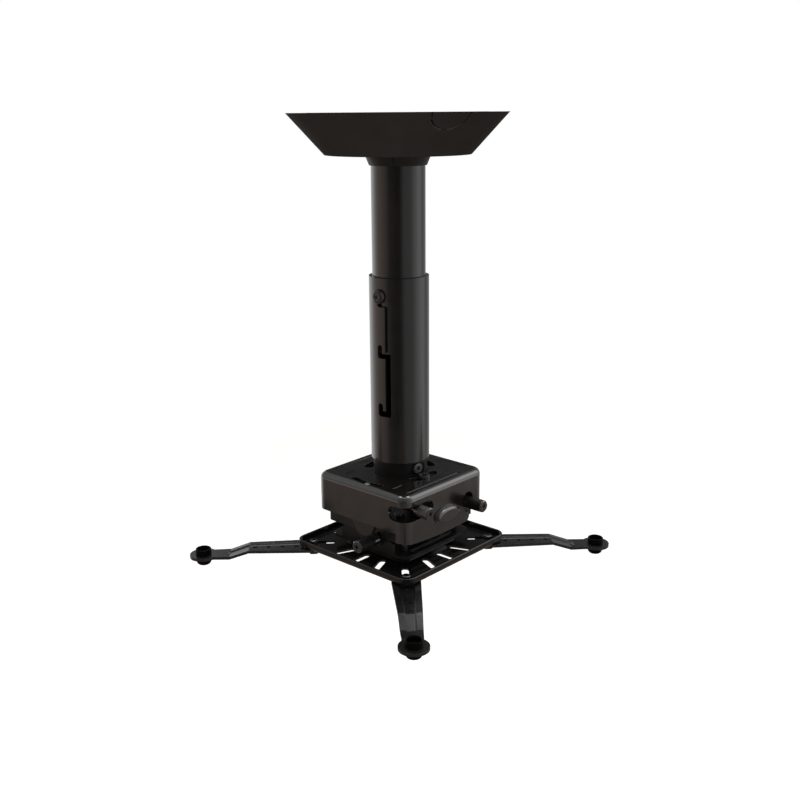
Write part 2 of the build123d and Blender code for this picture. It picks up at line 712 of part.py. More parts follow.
# Pitch pivots: two broad disc-headed pins through the gimbal's front and rear walls, with nuts
# inside the yoke's ears.
yoke_inner_y = yoke_outer_y - yoke_gauge
with BuildPart() as pitch_pivots:
    for side in (-1, 1):
        with BuildSketch(Plane.XZ.offset(-side * (yoke_inner_y - pivot_nut_length))):
            with Locations((0, pitch_axis_z)):
                Circle(pitch_pin_r)
        extrude(amount=-side * (gimbal_half_y + seat_gap - yoke_inner_y + pivot_nut_length))
        with BuildSketch(Plane.XZ.offset(-side * (gimbal_half_y + seat_gap))):
            with Locations((0, pitch_axis_z)):
                Circle(pitch_disc_r)
        extrude(amount=-side * pitch_disc_gauge)
finish(pitch_pivots, "pitch_pivots")

with BuildPart() as pitch_nuts:
    for side in (-1, 1):
        with BuildSketch(Plane.XZ.offset(-side * (yoke_inner_y - pivot_nut_length))):
            with Locations((0, pitch_axis_z)):
                RegularPolygon(pitch_nut_r, 6)
                Circle(pitch_pin_r + running_gap, mode=Mode.SUBTRACT)
        extrude(amount=-side * (pivot_nut_length - seat_gap))
finish(pitch_nuts, "pitch_nuts")

# Yoke: a folded steel saddle. Its two ears turn on the pitch pivots and its slotted base sits on
# the spider plate's platform.
yoke_foot_half = yoke_foot_width / 2
yoke_base_bottom = platform_top
yoke_shoulder = pitch_axis_z - yoke_shoulder_drop
with BuildPart() as yoke:
    with BuildSketch(Plane.XY.offset(yoke_base_bottom)):
        RectangleRounded(2 * yoke_base_half_x, 2 * yoke_outer_y, yoke_base_corner)
        with Locations((yoke_slot_x, 0), (-yoke_slot_x, 0)):
            SlotOverall(yoke_slot_length, yoke_slot_width, rotation=90, mode=Mode.SUBTRACT)
        with GridLocations(plate_screw_spacing, plate_screw_spacing, 2, 2):
            Circle(plate_screw_r + running_gap, mode=Mode.SUBTRACT)
    extrude(amount=yoke_gauge)
    for side in (-1, 1):
        with BuildSketch(Plane.XZ.offset(-side * yoke_inner_y)):
            with BuildLine():
                Polyline(
                    (-yoke_foot_half, yoke_base_bottom),
                    (yoke_foot_half, yoke_base_bottom),
                    (yoke_foot_half, yoke_shoulder),
                    (yoke_hump_r, pitch_axis_z),
                    (-yoke_hump_r, pitch_axis_z),
                    (-yoke_foot_half, yoke_shoulder),
                    close=True,
                )
            make_face()
            with Locations((0, pitch_axis_z)):
                Circle(yoke_hump_r)
                Circle(pitch_pin_r + running_gap, mode=Mode.SUBTRACT)
            if side == -1:
                with Locations((pitch_knob_x, pitch_knob_z)):
                    Circle(knob_boss_r)
                    Circle(knob_shank_r + running_gap, mode=Mode.SUBTRACT)
        extrude(amount=-side * yoke_gauge)
finish(yoke, "yoke")

# Lock knobs: turned thumb screws with a cross recess in the end, one for each axis of the head.
yaw_knob_tip = yaw_lug_x - yaw_lug_width / 2
roll_knob_tip = gimbal_side_inner - 2 * gimbal_gauge
pitch_tip = yoke_inner_y - 2 * yoke_gauge
knobs = (
    ("yaw_knob", Plane.YZ, yaw_knob_y, yaw_knob_z, yaw_knob_reach, yaw_knob_length, yaw_knob_tip),
    ("roll_knob", Plane.YZ, roll_knob_y, roll_knob_z, roll_knob_reach, roll_knob_length, roll_knob_tip),
    ("pitch_knob", Plane.XZ, pitch_knob_x, pitch_knob_z, pitch_knob_reach, pitch_knob_length, pitch_tip),
)
for name, facing, sideways, height, reach, length, tip in knobs:
    end = cover_half + reach
    with BuildPart() as knob:
        with BuildSketch(facing.offset(tip)):
            with Locations((sideways, height)):
                Circle(knob_shank_r)
        extrude(amount=end - tip)
        with BuildSketch(facing.offset(end - length)):
            with Locations((sideways, height)):
                Circle(knob_r)
        extrude(amount=length)
        end_face = knob.faces().sort_by(Axis((0, 0, 0), facing.z_dir))[-1]
        chamfer(end_face.edges(), knob_edge)
        with BuildSketch(facing.offset(end)):
            with Locations((sideways, height)):
                Rectangle(knob_cross_length, knob_cross_width)
                Rectangle(knob_cross_width, knob_cross_length)
        extrude(amount=-knob_cross_depth, mode=Mode.SUBTRACT)
    finish(knob, name)

# Spider plate: a pressed square pan with an upturned rim, a raised platform and radial slots.
with BuildPart() as spider_plate:
    with BuildSketch(Plane.XY.offset(spider_bottom)):
        RectangleRounded(spider_side, spider_side, spider_corner)
    extrude(amount=spider_rim_top - spider_bottom)
    fillet(spider_plate.faces().sort_by(Axis.Z)[0].edges(), spider_bend)
    with BuildSketch(Plane.XY.offset(spider_floor)):
        pan_inner = spider_side - 2 * spider_gauge
        RectangleRounded(pan_inner, pan_inner, spider_corner - spider_gauge)
    extrude(amount=spider_rim_top - spider_floor, mode=Mode.SUBTRACT)
    fillet(spider_plate.faces().sort_by(Axis.Z)[-1].edges(), spider_edge)
    with BuildSketch(Plane.XY.offset(spider_bottom)):
        RectangleRounded(platform_side, platform_side, platform_corner)
    extrude(amount=platform_top - spider_bottom, taper=platform_taper)
    with BuildSketch(Plane.XY.offset(spider_bottom)):
        hollow_side = platform_side - 2 * spider_gauge
        RectangleRounded(hollow_side, hollow_side, platform_corner - spider_gauge)
    extrude(amount=platform_top - spider_bottom - spider_gauge, taper=platform_taper, mode=Mode.SUBTRACT)
    with BuildSketch(Plane.XY.offset(spider_bottom)):
        for index in range(radial_slot_count):
            angle = index * 360 / radial_slot_count
            squareness = max(abs(cos(radians(angle))), abs(sin(radians(angle))))
            slot_length = (slot_outer_half - slot_inner_half) / squareness
            slot_middle = (slot_outer_half + slot_inner_half) / (2 * squareness)
            with PolarLocations(slot_middle, 1, start_angle=angle):
                SlotOverall(slot_length, radial_slot_width)
        with GridLocations(plate_screw_spacing, plate_screw_spacing, 2, 2):
            Circle(plate_screw_r + running_gap)
    extrude(amount=platform_top - spider_bottom, mode=Mode.SUBTRACT)
finish(spider_plate, "spider_plate")

# Plate screws and nuts: hold the yoke's base on the platform.
platform_under = platform_top - spider_gauge
with BuildPart() as plate_screws:
    with BuildSketch(Plane.XY.offset(platform_under - plate_nut_length)):
        with GridLocations(plate_screw_spacing, plate_screw_spacing, 2, 2):
            Circle(plate_screw_r)
    extrude(amount=yoke_base_top + seat_gap - platform_under + plate_nut_length)
    with BuildSketch(Plane.XY.offset(yoke_base_top + seat_gap)):
        with GridLocations(plate_screw_spacing, plate_screw_spacing, 2, 2):
            Circle(plate_screw_head_r)
    extrude(amount=plate_screw_head_rise)
finish(plate_screws, "plate_screws")

with BuildPart() as plate_nuts:
    with BuildSketch(Plane.XY.offset(platform_under - plate_nut_length)):
        with GridLocations(plate_screw_spacing, plate_screw_spacing, 2, 2):
            RegularPolygon(plate_screw_head_r, 6)
            Circle(plate_screw_r + running_gap, mode=Mode.SUBTRACT)
    extrude(amount=plate_nut_length - seat_gap)
finish(plate_nuts, "plate_nuts")

# Arms: pressed strips with a formed channel that runs down a step to a round tip, each on a screw
# that slides in the spider plate's corner slot, with a thumb ring and a domed foot at the tip.
arm_bend_end = arm_reach - arm_bend_inset
arm_bend_start = arm_bend_end - arm_bend_length
arm_start = arm_screw_reach - arm_root_overhang
channel_start = arm_screw_reach + arm_channel_lead
channel_end = arm_bend_end + arm_channel_run
first_hole = channel_start + arm_hole_lead
hole_pitch = (arm_bend_start - arm_hole_tail - first_hole) / (arm_hole_count - 1)
arm_head_bottom = spider_floor + seat_gap
arm_plan_bottom = arm_tip_bottom - arm_channel_depth


def strip_profile(start, end, top, gauge):
    """Side view of a strip of even height that steps down over the bend. top is its height at the root."""
    tip = top - arm_drop
    upper = [(start, top), (arm_bend_start, top), (arm_bend_end, tip), (end, tip)]
    lower = [(reach, height - gauge) for reach, height in reversed(upper)]
    return upper + lower


def on_channel_rim(place):
    """True for a point of the channel's rim on the strip's upper face, given in the arm's side view."""
    fall = min(max((place.X - arm_bend_start) / (arm_bend_end - arm_bend_start), 0), 1)
    share = (place.X - channel_start) / (channel_end - channel_start)
    half_width = (arm_channel_root_width + share * (arm_channel_tip_width - arm_channel_root_width)) / 2
    on_top = isclose(place.Y, arm_top - fall * arm_drop, abs_tol=seat_gap)
    return on_top and -seat_gap < share < 1 + seat_gap and abs(place.Z) < half_width + seat_gap


channel_plan = [
    (channel_start, arm_channel_root_width / 2),
    (channel_end, arm_channel_tip_width / 2),
    (channel_end, -arm_channel_tip_width / 2),
    (channel_start, -arm_channel_root_width / 2),
]
for name, angle in (("front", -45), ("right", 45), ("rear", 135), ("left", 225)):
    along = (cos(radians(angle)), sin(radians(angle)), 0)
    across = (-sin(radians(angle)), cos(radians(angle)), 0)
    level = Plane(origin=(0, 0, arm_plan_bottom), x_dir=along, z_dir=(0, 0, 1))
    upright = Plane(origin=(0, 0, 0), x_dir=along, z_dir=(-across[0], -across[1], 0))
    channel_bands = []
    for top in (arm_top, arm_bottom):
        with BuildPart() as channel_band:
            with BuildSketch(upright):
                with BuildLine():
                    Polyline(*strip_profile(channel_start, channel_end, top, arm_channel_depth), close=True)
                make_face()
            extrude(amount=arm_root_width, both=True)
            with BuildSketch(level):
                with BuildLine():
                    Polyline(*channel_plan, close=True)
                make_face()
            extrude(amount=arm_top - arm_plan_bottom, mode=Mode.INTERSECT)
        channel_bands.append(channel_band.part)
    channel, ridge = channel_bands
    with BuildPart() as arm:
        with BuildSketch(upright):
            with BuildLine():
                Polyline(*strip_profile(arm_start, arm_reach + arm_tip_r, arm_top, arm_gauge), close=True)
            make_face()
        extrude(amount=arm_root_width, both=True)
        with BuildSketch(level):
            with BuildLine():
                Polyline(
                    (arm_screw_reach, arm_root_width / 2),
                    (arm_reach, arm_tip_width / 2),
                    (arm_reach, -arm_tip_width / 2),
                    (arm_screw_reach, -arm_root_width / 2),
                    close=True,
                )
            make_face()
            with Locations((arm_screw_reach, 0)):
                Circle(arm_root_width / 2)
                Circle(arm_screw_r + running_gap, mode=Mode.SUBTRACT)
            with Locations((arm_reach, 0)):
                Circle(arm_tip_r)
                Circle(foot_neck_r + running_gap, mode=Mode.SUBTRACT)
        extrude(amount=arm_top - arm_plan_bottom, mode=Mode.INTERSECT)
        add(ridge)
        add(channel, mode=Mode.SUBTRACT)
        rim = [edge for edge in arm.edges() if on_channel_rim(upright.to_local_coords(edge.center()))]
        chamfer(rim, arm_channel_slope)
        with BuildSketch(level):
            with Locations(*[(first_hole + step * hole_pitch, 0) for step in range(arm_hole_count)]):
                Circle(arm_hole_r)
        extrude(amount=arm_top - arm_plan_bottom, mode=Mode.SUBTRACT)
    finish(arm, f"arm_{name}")

    with BuildPart() as arm_screw:
        with BuildSketch(level.offset(arm_bottom - arm_nut_length - arm_plan_bottom)):
            with Locations((arm_screw_reach, 0)):
                Circle(arm_screw_r)
        extrude(amount=arm_head_bottom - arm_bottom + arm_nut_length)
        with BuildSketch(level.offset(arm_head_bottom - arm_plan_bottom)):
            with Locations((arm_screw_reach, 0)):
                Circle(arm_head_r)
        extrude(amount=arm_head_rise)
        fillet(arm_screw.faces().sort_by(Axis.Z)[-1].edges(), arm_head_round)
        with BuildSketch(level.offset(arm_head_bottom + arm_head_rise - arm_plan_bottom)):
            with Locations((arm_screw_reach, 0)):
                RegularPolygon(arm_socket_r, 6)
        extrude(amount=-arm_socket_depth, mode=Mode.SUBTRACT)
    finish(arm_screw, f"arm_screw_{name}")

    with BuildPart() as arm_nut:
        with BuildSketch(level.offset(arm_bottom - arm_nut_length - arm_plan_bottom)):
            with Locations((arm_screw_reach, 0)):
                RegularPolygon(arm_nut_r, 6)
                Circle(arm_screw_r + running_gap, mode=Mode.SUBTRACT)
        extrude(amount=arm_nut_length - seat_gap)
    finish(arm_nut, f"arm_nut_{name}")

    foot_axis = Axis((arm_reach * along[0], arm_reach * along[1], 0), (0, 0, 1))
    with BuildPart() as thumb_ring:
        with BuildSketch(level.offset(arm_tip_top + seat_gap - arm_plan_bottom)):
            with Locations((arm_reach, 0)):
                Circle(thumb_ring_r)
                Circle(foot_bore_r, mode=Mode.SUBTRACT)
        extrude(amount=thumb_ring_height)
        with BuildSketch(level.offset(arm_tip_top + seat_gap + thumb_ring_height - arm_plan_bottom)):
            with Locations((arm_reach, 0)):
                Circle(thumb_recess_r)
        extrude(amount=-thumb_recess_depth, mode=Mode.SUBTRACT)
        chamfer(thumb_ring.edges().group_by(Axis.Z)[-1], thumb_ring_edge)
    finish(thumb_ring, f"thumb_ring_{name}")

    foot_top = arm_tip_bottom - seat_gap
    foot_waist = (foot_top + foot_bottom) / 2
    with BuildPart() as foot:
        with BuildSketch(upright):
            with BuildLine():
                Polyline(
                    (arm_reach + foot_bore_r, arm_tip_top + seat_gap),
                    (arm_reach + foot_neck_r, arm_tip_top + seat_gap),
                    (arm_reach + foot_neck_r, foot_top),
                    (arm_reach + foot_r, foot_top),
                    (arm_reach + foot_r, foot_waist),
                )
                ThreePointArc(
                    (arm_reach + foot_r, foot_waist),
                    (arm_reach + foot_bulge_r, (foot_waist + 2 * foot_bottom) / 3),
                    (arm_reach + foot_sole_r, foot_bottom),
                )
                Polyline(
                    (arm_reach + foot_sole_r, foot_bottom),
                    (arm_reach + foot_bore_r, foot_bottom),
                    (arm_reach + foot_bore_r, arm_tip_top + seat_gap),
                )
            make_face()
        revolve(axis=foot_axis)
    finish(foot, f"foot_{name}")
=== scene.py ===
import math

import bpy
import numpy as np
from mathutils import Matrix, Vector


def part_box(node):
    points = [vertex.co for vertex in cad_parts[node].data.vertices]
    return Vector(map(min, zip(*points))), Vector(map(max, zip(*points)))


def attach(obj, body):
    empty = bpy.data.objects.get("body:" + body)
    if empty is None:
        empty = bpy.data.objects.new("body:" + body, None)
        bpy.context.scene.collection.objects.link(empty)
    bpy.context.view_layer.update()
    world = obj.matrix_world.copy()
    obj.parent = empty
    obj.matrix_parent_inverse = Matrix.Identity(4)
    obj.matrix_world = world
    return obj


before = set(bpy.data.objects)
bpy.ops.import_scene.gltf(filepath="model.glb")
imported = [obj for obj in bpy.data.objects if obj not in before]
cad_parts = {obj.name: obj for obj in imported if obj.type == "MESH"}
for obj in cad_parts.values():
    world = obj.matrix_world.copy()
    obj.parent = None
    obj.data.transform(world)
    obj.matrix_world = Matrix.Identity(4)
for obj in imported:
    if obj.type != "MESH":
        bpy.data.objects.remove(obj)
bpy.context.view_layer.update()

# Ceiling plate and upper tube: a flat steel plate with a drawn steel tube welded under it, the fixed
# end of the mount. Both are dipped together in a glossy black stove enamel.


def black_coat(name, shade, roughness, gloss, grain, relief, drawn=1, cloud=0.014, edge=0.0003):
    """A black coat in Object coordinates, sizes in metres. Cloudy noise, cloud wide, takes the shade and
    the roughness up and down by a tenth. Painted shade: an ambient-occlusion node darkens the colour in
    grooves and recesses, where other faces of the same piece lie within the reach. Fine noise, grain wide
    and drawn times as tall, gives it a relief of that depth, on normals that turn round each corner over
    the width edge."""
    most, least = 1.1, 0.9
    cloud_start, cloud_end = 0.35, 0.65
    # How far the painted shade in grooves and recesses looks for nearby faces of the same piece.
    painted_shade_reach = 0.0025
    coat = bpy.data.materials.new(name)
    coat.use_nodes = True
    tree = coat.node_tree
    shader = tree.nodes["Principled BSDF"]
    shader.inputs["Specular IOR Level"].default_value = gloss
    place = tree.nodes.new("ShaderNodeTexCoord")
    clouds = tree.nodes.new("ShaderNodeTexNoise")
    clouds.inputs["Scale"].default_value = 1 / cloud
    clouds.inputs["Detail"].default_value = 3
    pigment = tree.nodes.new("ShaderNodeValToRGB")
    thin, thick = pigment.color_ramp.elements
    thin.position, thick.position = cloud_start, cloud_end
    thin.color = (*(most * channel for channel in shade), 1)
    thick.color = (*(least * channel for channel in shade), 1)
    # Painted shade: an ambient-occlusion node darkens the base colour in grooves, recesses and corners of one
    # piece.
    painted_recess_shade = tree.nodes.new("ShaderNodeAmbientOcclusion")
    painted_recess_shade.only_local = True
    painted_recess_shade.samples = 6
    painted_recess_shade.inputs["Distance"].default_value = painted_shade_reach
    dullness = tree.nodes.new("ShaderNodeMapRange")
    dullness.inputs["From Min"].default_value = cloud_start
    dullness.inputs["From Max"].default_value = cloud_end
    dullness.inputs["To Min"].default_value = most * roughness
    dullness.inputs["To Max"].default_value = least * roughness
    stretch = tree.nodes.new("ShaderNodeMapping")
    stretch.inputs["Scale"].default_value = (1, 1, 1 / drawn)
    fine = tree.nodes.new("ShaderNodeTexNoise")
    fine.inputs["Scale"].default_value = 1 / grain
    fine.inputs["Detail"].default_value = 2
    corners = tree.nodes.new("ShaderNodeBevel")
    corners.inputs["Radius"].default_value = edge
    surface = tree.nodes.new("ShaderNodeBump")
    surface.inputs["Distance"].default_value = relief
    tree.links.new(place.outputs["Object"], clouds.inputs["Vector"])
    tree.links.new(clouds.outputs["Fac"], pigment.inputs["Fac"])
    tree.links.new(pigment.outputs["Color"], painted_recess_shade.inputs["Color"])
    tree.links.new(painted_recess_shade.outputs["Color"], shader.inputs["Base Color"])
    tree.links.new(clouds.outputs["Fac"], dullness.inputs["Value"])
    tree.links.new(dullness.outputs["Result"], shader.inputs["Roughness"])
    tree.links.new(place.outputs["Object"], stretch.inputs["Vector"])
    tree.links.new(stretch.outputs["Vector"], fine.inputs["Vector"])
    tree.links.new(fine.outputs["Fac"], surface.inputs["Height"])
    tree.links.new(corners.outputs["Normal"], surface.inputs["Normal"])
    tree.links.new(surface.outputs["Normal"], shader.inputs["Normal"])
    return coat


def clad(finish, *node_names):
    """Gives every named CAD node one finish all over."""
    for node_name in node_names:
        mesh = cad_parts[node_name].data
        mesh.materials.clear()
        mesh.materials.append(finish)


stove_enamel = black_coat(
    "stove_enamel", shade=(0.007, 0.0068, 0.0066), roughness=0.15, gloss=0.5,
    grain=0.0014, relief=0.000008, drawn=6,
)
clad(stove_enamel, "ceiling_plate", "upper_tube")

# Weld: one ring of weld metal in the corner between the plate and the tube, laid as overlapping ripples
# that trail behind the middle of the bead, under the same enamel.


def closed_ring(name, points):
    """A closed skin through a grid of points. Each row runs round the axis and each column round the
    cross-section, and the last of either is joined to the first."""
    sharpest_smooth_angle = math.radians(50)
    rows, columns = points.shape[:2]
    corner = np.arange(rows * columns).reshape(rows, columns)
    below = np.roll(corner, -1, axis=0)
    quads = np.stack([corner, below, np.roll(below, -1, axis=1), np.roll(corner, -1, axis=1)], axis=-1)
    mesh = bpy.data.meshes.new(name)
    mesh.from_pydata(points.reshape(-1, 3).tolist(), [], quads.reshape(-1, 4).tolist())
    mesh.shade_smooth()
    mesh.set_sharp_from_angle(angle=sharpest_smooth_angle)
    ring = bpy.data.objects.new(name, mesh)
    bpy.context.scene.collection.objects.link(ring)
    return ring


def weld_bead(radius, top, leg, root, fullness, ripples, swell, trail):
    """Points of a weld in the corner under the height top, round a tube of that radius. Its face goes from
    the plate to the tube: over a quarter turn, the cosine and the sine, each to the power fullness, give
    the share of a leg outwards and downwards. The leg swells with the absolute sine of half a phase, once
    for each ripple, and the phase trails with the sine of twice the face's angle. A last row, the root's
    depth inside both pieces, closes the bead."""
    steps_per_ripple = 12
    steps_over_face = 11
    turn = np.linspace(0, 2 * np.pi, steps_per_ripple * ripples, endpoint=False)
    face = np.linspace(0, np.pi / 2, steps_over_face)[:, None]
    phase = ripples * turn - trail * np.sin(2 * face)
    size = leg * (1 + swell * np.abs(np.sin(phase / 2)))
    inside = np.full_like(turn, -root)
    outwards = radius + np.vstack([size * np.cos(face) ** fullness, inside])
    downwards = np.vstack([size * np.sin(face) ** fullness, inside])
    return np.stack([outwards * np.cos(turn), outwards * np.sin(turn), top - downwards], axis=-1)


weld_points = weld_bead(
    radius=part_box("upper_tube")[1][0], top=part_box("ceiling_plate")[0][2],
    leg=0.0045, root=0.0004, fullness=1.4, ripples=96, swell=0.09, trail=1.6,
)
weld = closed_ring("weld", weld_points)
weld.data.materials.append(stove_enamel)
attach(weld, "ceiling")

# Height screw: a button-head screw of blackened steel, held by a plated nut inside the upper tube. It
# stays there while the lower tube's hooks hang on it.
blackened_steel = black_coat(
    "blackened_steel", shade=(0.011, 0.011, 0.011), roughness=0.26, gloss=0.5, grain=0.0007, relief=0.000005,
)
clad(blackened_steel, "height_screw")

# Canopy: a cone moulded in black plastic with a spark-eroded matt grain, pushed up against the ceiling.
# The grain scatters light, so little of it comes back as gloss.
canopy_moulding = black_coat(
    "canopy_moulding", shade=(0.031, 0.0288, 0.0273), roughness=0.7, gloss=0.015,
    grain=0.0006, relief=0.000012, cloud=0.03,
)
clad(canopy_moulding, "canopy")

# Split collar: two halves moulded in black plastic that close round the tube under the canopy and hold
# it up, with a seam on either side.
collar_moulding = black_coat(
    "collar_moulding", shade=(0.0085, 0.0083, 0.008), roughness=0.5, gloss=0.25, grain=0.0006, relief=0.00003,
)
clad(collar_moulding, "collar_half_left", "collar_half_right")

# Lower tube: a drawn steel tube with a hooked slot cut through its wall, which hangs on the height
# screw. It has the same enamel as the upper tube.
clad(stove_enamel, "lower_tube")

# Swivel flange: the column's foot, a neck and a disc turned from steel, blackened and oiled to a dull
# black, with a step that sits in the lower tube. Its two lock screws are polished black socket screws.
oiled_black = black_coat(
    "oiled_black", shade=(0.0036, 0.0036, 0.0036), roughness=0.42, gloss=0.14, grain=0.0009, relief=0.000006,
)
clad(oiled_black, "swivel_flange")
polished_black = black_coat(
    "polished_black", shade=(0.02, 0.02, 0.02), roughness=0.2, gloss=1.0, grain=0.0009, relief=0.000003,
)
clad(polished_black, "neck_screw", "swivel_screw")

# Head cover: a cap deep-drawn from steel sheet that turns on the flange. Its satin black powder coat
# has the slight peel of a sprayed powder.
satin_powder = black_coat(
    "satin_powder", shade=(0.0085, 0.008, 0.0077), roughness=0.19, gloss=0.95, grain=0.0011, relief=0.0000015,
)
clad(satin_powder, "head_cover")

# Yaw stop: a bright zinc-plated pin with a button head that runs in the cover's front arc slot. The
# plating has grown in small crystals, each with a slightly different shine.


def plating(name, dark, pale):
    """A metal plating in Object coordinates, sizes in metres. Random cells, one crystal across, each take
    a tint between dark and pale and a roughness of their own, and bulge a little. The normals turn round
    each corner over the width edge."""
    crystal = 0.0012
    bulge = 0.000002
    edge = 0.0002
    smoothest, roughest = 0.2, 0.36
    metal = bpy.data.materials.new(name)
    metal.use_nodes = True
    tree = metal.node_tree
    shader = tree.nodes["Principled BSDF"]
    shader.inputs["Metallic"].default_value = 1
    place = tree.nodes.new("ShaderNodeTexCoord")
    crystals = tree.nodes.new("ShaderNodeTexVoronoi")
    crystals.inputs["Scale"].default_value = 1 / crystal
    tint = tree.nodes.new("ShaderNodeValToRGB")
    tint.color_ramp.elements[0].color = (*dark, 1)
    tint.color_ramp.elements[1].color = (*pale, 1)
    dullness = tree.nodes.new("ShaderNodeMapRange")
    dullness.inputs["To Min"].default_value = smoothest
    dullness.inputs["To Max"].default_value = roughest
    corners = tree.nodes.new("ShaderNodeBevel")
    corners.inputs["Radius"].default_value = edge
    surface = tree.nodes.new("ShaderNodeBump")
    surface.inputs["Distance"].default_value = bulge
    tree.links.new(place.outputs["Object"], crystals.inputs["Vector"])
    tree.links.new(crystals.outputs["Color"], tint.inputs["Fac"])
    tree.links.new(tint.outputs["Color"], shader.inputs["Base Color"])
    tree.links.new(crystals.outputs["Color"], dullness.inputs["Value"])
    tree.links.new(dullness.outputs["Result"], shader.inputs["Roughness"])
    tree.links.new(crystals.outputs["Distance"], surface.inputs["Height"])
    tree.links.new(corners.outputs["Normal"], surface.inputs["Normal"])
    tree.links.new(surface.outputs["Normal"], shader.inputs["Normal"])
    return metal


bright_zinc = plating("bright_zinc", dark=(0.2, 0.205, 0.215), pale=(0.34, 0.34, 0.335))
clad(bright_zinc, "yaw_stop")

# Badge: a plain oval cap with a stepped rim, moulded in glossy black plastic and pressed over the side
# pivot.
badge_gloss = black_coat(
    "badge_gloss", shade=(0.027, 0.0265, 0.026), roughness=0.14, gloss=1.0, grain=0.002, relief=0.000004,
)
clad(badge_gloss, "badge")

# Pivots, spacers and nuts of the roll and pitch axes, and the height screw's nut: turned pins and
# sleeves of blackened steel, with nuts in bright zinc.
clad(blackened_steel, "roll_pivots", "roll_spacers", "pitch_pivots")
clad(bright_zinc, "height_nut", "roll_nuts", "pitch_nuts")

# Gimbal bracket and yoke: folded from steel strip and hung from one another on the pivots. Their powder
# coat is duller than the cover's, and its colour is made a little darker to paint the shade under the cover.
shaded_dull_powder = black_coat(
    "shaded_dull_powder", shade=(0.007, 0.007, 0.007), roughness=0.34, gloss=0.3, grain=0.0008, relief=0.000005,
)
clad(shaded_dull_powder, "gimbal_bracket", "yoke")

# Lock knobs: turned steel thumb screws in satin black, one for each axis of the head. The barrels have a
# fine diamond knurl, rolled in after turning, and oiled on the roll and pitch knobs. The yaw knob's long
# shank shows its thread in the window.
clad(satin_powder, "yaw_knob", "roll_knob", "pitch_knob")


def sleeve(name, foot, axis, stations, radii, bore):
    """A hollow sleeve on an axis from the point foot. At each station, a distance from the foot that runs
    from the far end back, a row of radii gives the skin round the axis. A plain bore closes it."""
    turn = np.linspace(0, 2 * np.pi, radii.shape[1], endpoint=False)
    side = np.roll(axis, 1)
    spokes = np.outer(np.cos(turn), side) + np.outer(np.sin(turn), np.cross(axis, side))
    stations = np.concatenate([stations, stations[-1:], stations[:1]])
    radii = np.vstack([radii, np.full((2, radii.shape[1]), bore)])
    points = foot + np.multiply.outer(stations, axis)[:, None, :] + radii[:, :, None] * spokes
    return closed_ring(name, points)


def triangle_wave(phase):
    """0 at whole turns of the phase and 1 halfway between them, in straight lines."""
    return 1 - np.abs(2 * (phase % 1) - 1)


def run_out(stations, length, pitch):
    """1 along the middle of a length, falling to 0 over one pitch at either end."""
    return np.clip(np.minimum(stations, length - stations) / pitch, 0, 1)[:, None]


def diamonds(stations, turns, pitch):
    """1 on the points of a diamond knurl and 0 in its grooves. It is the lower of two triangle waves over
    the turns, which count ridges round the barrel: one leans a ridge to the right over each pitch along
    the barrel, and the other a ridge to the left."""
    right_hand = triangle_wave(turns + stations[:, None] / pitch)
    left_hand = triangle_wave(turns - stations[:, None] / pitch)
    return np.minimum(right_hand, left_hand)


def helix(stations, turns, pitch):
    """1 on the crest of a screw thread and 0 at its root. It is a triangle wave that climbs one pitch in
    each turn, made steeper and cut flat above and below."""
    steepness, root = 1.6, 0.3
    return np.clip(steepness * triangle_wave(stations[:, None] / pitch - turns) - root, 0, 1)


knob_radius = 0.0052
knurl_depth = 0.00022
knurl_count = 40
knurl_steps = 6
knurl_bore = 0.0048
knurl_end = 0.0012
knurl_pitch = 2 * np.pi * knob_radius / knurl_count
for knob, axis, grip, finish in (
    ("yaw_knob", (1, 0, 0), 0.0105, satin_powder),
    ("roll_knob", (1, 0, 0), 0.0145, oiled_black),
    ("pitch_knob", (0, -1, 0), 0.0165, oiled_black),
):
    axis = np.array(axis, float)
    lowest, highest = np.array(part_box(knob))
    reach = max(lowest @ axis, highest @ axis)
    middle = (lowest + highest) / 2
    foot = middle + (reach - knurl_end - grip - middle @ axis) * axis
    stations = np.arange(grip, 0, -knurl_pitch / knurl_steps)
    turns = np.arange(knurl_count * knurl_steps) / knurl_steps
    rise = knurl_depth * run_out(stations, grip, knurl_pitch)
    radii = knob_radius + rise * diamonds(stations, turns, knurl_pitch)
    knurl = sleeve(f"{knob}_knurl", foot, axis, stations, radii, knurl_bore)
    knurl.data.materials.append(finish)
    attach(knurl, knob)

thread_radius = 0.0025
thread_depth = 0.0004
thread_pitch = 0.001
thread_start = 0.019
thread_length = 0.0265
thread_bore = 0.0022
thread_steps = 10
thread_sides = 64
thread_axis = np.array([1.0, 0, 0])
thread_stations = np.arange(thread_length, 0, -thread_pitch / thread_steps)
thread_turns = np.arange(thread_sides) / thread_sides
thread_rise = thread_depth * run_out(thread_stations, thread_length, thread_pitch)
thread_radii = thread_radius + thread_rise * helix(thread_stations, thread_turns, thread_pitch)
yaw_low, yaw_high = np.array(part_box("yaw_knob"))
thread_foot = np.array([thread_start, *(yaw_low + yaw_high)[1:] / 2])
thread = sleeve("yaw_knob_thread", thread_foot, thread_axis, thread_stations, thread_radii, thread_bore)
thread.data.materials.append(oiled_black)
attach(thread, "yaw_knob")

# Spider plate: a steel pan pressed with a rim, a platform and radial slots, in a smooth black powder coat.
# Four plated screws with nuts hold it under the yoke.
smooth_powder = black_coat(
    "smooth_powder", shade=(0.0045, 0.0045, 0.0045), roughness=0.17, gloss=0.5,
    grain=0.0011, relief=0.000001, edge=0.0002,
)
clad(smooth_powder, "spider_plate")
clad(bright_zinc, "plate_screws", "plate_nuts")

